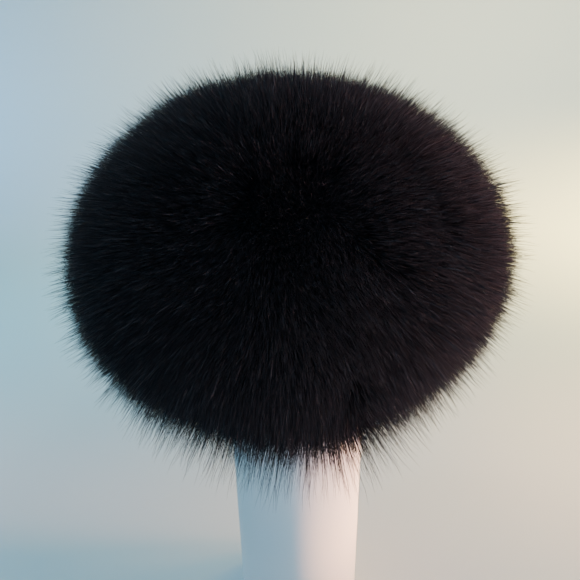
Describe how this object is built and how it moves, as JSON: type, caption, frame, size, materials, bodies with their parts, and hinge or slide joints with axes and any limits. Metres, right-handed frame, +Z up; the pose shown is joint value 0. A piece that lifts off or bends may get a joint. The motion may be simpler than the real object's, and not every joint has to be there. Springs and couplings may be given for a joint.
{
  "type": "cossack hat on a round post stand",
  "caption": "Round hat of long black fur with an oval head opening, resting by its flat crown on a plain round post.",
  "frame": {"origin": "centre of the post's flat foot, on the surface that it stands on", "axes": "+Z up the post, through the middle of the crown; +X to the right seen from the front; +Y from the front of the hat to its back, along the longer axis of the oval head opening"},
  "size_m": [0.307, 0.3176, 0.4579],
  "materials": {
    "post": "smooth matt white, evenly painted",
    "pelt": "dark brown-black skin side of a pelt, suede nap",
    "fur": "long glossy black fur, brown-black where light passes through the tips"
  },
  "bodies": {
    "root": {"stand_post": "post", "crown_pelt": "pelt", "band_pelt": "pelt", "crown_fur": "fur", "band_fur": "fur"}
  },
  "joints": []
}
